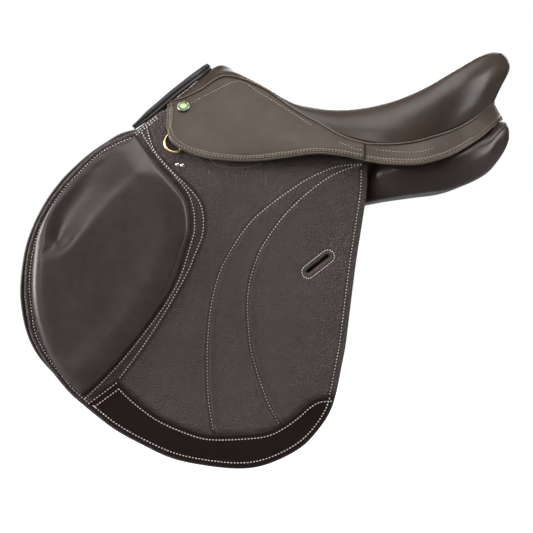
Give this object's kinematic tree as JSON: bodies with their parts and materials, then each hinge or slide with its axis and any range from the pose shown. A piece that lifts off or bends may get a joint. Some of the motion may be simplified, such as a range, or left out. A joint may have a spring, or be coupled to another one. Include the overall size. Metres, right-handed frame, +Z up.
{
  "type": "english jumping saddle",
  "caption": "Close-contact jumping saddle in brown leather with lifting flaps and skirts, girth straps, stirrup bars and a wood and steel tree.",
  "frame": {"origin": "mid-plane of the saddle, level with the panels' bearing surface below the seat", "axes": "+X from pommel to cantle, +Y to the off side, +Z up; the near side is -Y"},
  "size_m": [0.657, 0.3466, 0.555],
  "materials": {
    "seat_leather": "smooth calf, soft gloss",
    "skirt_leather": "smooth calf, satin",
    "flap_leather": "fine pebbled grain, satin",
    "pad_leather": "smooth calf, soft gloss",
    "guard_leather": "matt",
    "panel_leather": "smooth calf, satin",
    "strap_leather": "bridle leather, waxed",
    "lining_leather": "matt",
    "foam": "open-cell foam",
    "webbing": "woven",
    "tree_wood": "laminated beech, sealed",
    "steel": "forged and polished",
    "chrome": "polished",
    "brass": "polished",
    "enamel": "gloss enamel in a bright rim"
  },
  "bodies": {
    "root": {"tree_head": "tree_wood", "gullet_plate": "steel", "tree_cantle": "tree_wood", "seat_web": "webbing", "girth_web_front": "webbing", "girth_web_rear": "webbing", "seat_foam": "foam", "seat_cover": "seat_leather", "gullet_lining": "lining_leather", "rear_rim": "skirt_leather", "pommel_facing": "flap_leather", "tree_rail_left": "tree_wood", "tree_rail_right": "tree_wood", "spring_left": "steel", "spring_right": "steel", "stirrup_bar_left": "steel", "stirrup_bar_right": "steel", "catch_pin_left": "steel", "catch_pin_right": "steel", "dee_chape_left": "brass", "dee_chape_right": "brass", "badge_left": "enamel", "badge_right": "enamel", "flap_screw_front_left": "chrome", "flap_screw_front_right": "chrome", "flap_screw_rear_left": "chrome", "flap_screw_rear_right": "chrome", "panel_left": "panel_leather", "panel_right": "panel_leather", "sweat_flap_left": "lining_leather", "sweat_flap_right": "lining_leather", "knee_block_left": "lining_leather", "knee_block_right": "lining_leather", "flap_head_left": "flap_leather", "flap_head_right": "flap_leather", "skirt_head_left": "skirt_leather", "skirt_head_right": "skirt_leather", "bar_lining_left": "lining_leather", "bar_lining_right": "lining_leather"},
    "left_flap": {"flap_left": "flap_leather", "knee_pad_left": "pad_leather", "boot_guard_left": "guard_leather"},
    "left_skirt": {"skirt_left": "skirt_leather"},
    "left_bar_catch": {"stirrup_catch_left": "steel"},
    "left_dee": {"dee_ring_left": "brass"},
    "left_girth_straps": {"girth_strap_front_left": "strap_leather", "girth_strap_middle_left": "strap_leather", "girth_strap_rear_left": "strap_leather"},
    "left_buckle_guard": {"buckle_guard_left": "lining_leather"},
    "right_flap": {"flap_right": "flap_leather", "knee_pad_right": "pad_leather", "boot_guard_right": "guard_leather"},
    "right_skirt": {"skirt_right": "skirt_leather"},
    "right_bar_catch": {"stirrup_catch_right": "steel"},
    "right_dee": {"dee_ring_right": "brass"},
    "right_girth_straps": {"girth_strap_front_right": "strap_leather", "girth_strap_middle_right": "strap_leather", "girth_strap_rear_right": "strap_leather"},
    "right_buckle_guard": {"buckle_guard_right": "lining_leather"}
  },
  "joints": [
    {"name": "left_flap_lift", "type": "hinge", "parent": "root", "child": "left_flap", "pos_m": [0, -0.11534, 0.04], "axis": [-1, 0, 0], "range_deg": [0, 90]},
    {"name": "left_skirt_lift", "type": "hinge", "parent": "root", "child": "left_skirt", "pos_m": [0, -0.10824, 0.08947], "axis": [-0.9713, 0.1575, 0.1781], "range_deg": [0, 75]},
    {"name": "left_bar_catch_turn", "type": "hinge", "parent": "root", "child": "left_bar_catch", "pos_m": [-0.008, -0.103, 0.066], "axis": [0, -1, 0], "range_deg": [0, 90]},
    {"name": "left_dee_swing", "type": "hinge", "parent": "root", "child": "left_dee", "pos_m": [-0.11875, -0.10353, 0.0785], "axis": [-0.3556, 0.396, 0.8466], "range_deg": [0, 25]},
    {"name": "left_girth_strap_lift", "type": "hinge", "parent": "root", "child": "left_girth_straps", "pos_m": [0, -0.10284, 0.0395], "axis": [-1, 0, 0], "range_deg": [0, 45]},
    {"name": "left_buckle_guard_slide", "type": "slide", "parent": "left_girth_straps", "child": "left_buckle_guard", "axis": [0, 0.1357, 0.9907], "range_m": [0, 0.06]},
    {"name": "right_flap_lift", "type": "hinge", "parent": "root", "child": "right_flap", "pos_m": [0, 0.11534, 0.04], "axis": [1, 0, 0], "range_deg": [0, 90]},
    {"name": "right_skirt_lift", "type": "hinge", "parent": "root", "child": "right_skirt", "pos_m": [0, 0.10824, 0.08947], "axis": [0.9713, 0.1575, -0.1781], "range_deg": [0, 75]},
    {"name": "right_bar_catch_turn", "type": "hinge", "parent": "root", "child": "right_bar_catch", "pos_m": [-0.008, 0.103, 0.066], "axis": [0, -1, 0], "range_deg": [0, 90]},
    {"name": "right_dee_swing", "type": "hinge", "parent": "root", "child": "right_dee", "pos_m": [-0.11875, 0.10353, 0.0785], "axis": [0.3556, 0.396, -0.8466], "range_deg": [0, 25]},
    {"name": "right_girth_strap_lift", "type": "hinge", "parent": "root", "child": "right_girth_straps", "pos_m": [0, 0.10284, 0.0395], "axis": [1, 0, 0], "range_deg": [0, 45]},
    {"name": "right_buckle_guard_slide", "type": "slide", "parent": "right_girth_straps", "child": "right_buckle_guard", "axis": [0, -0.1357, 0.9907], "range_m": [0, 0.06]}
  ],
  "couplings": [
    {"joint": "left_girth_strap_lift", "follows": "left_flap_lift", "ratio": 0.5},
    {"joint": "right_girth_strap_lift", "follows": "right_flap_lift", "ratio": 0.5}
  ]
}
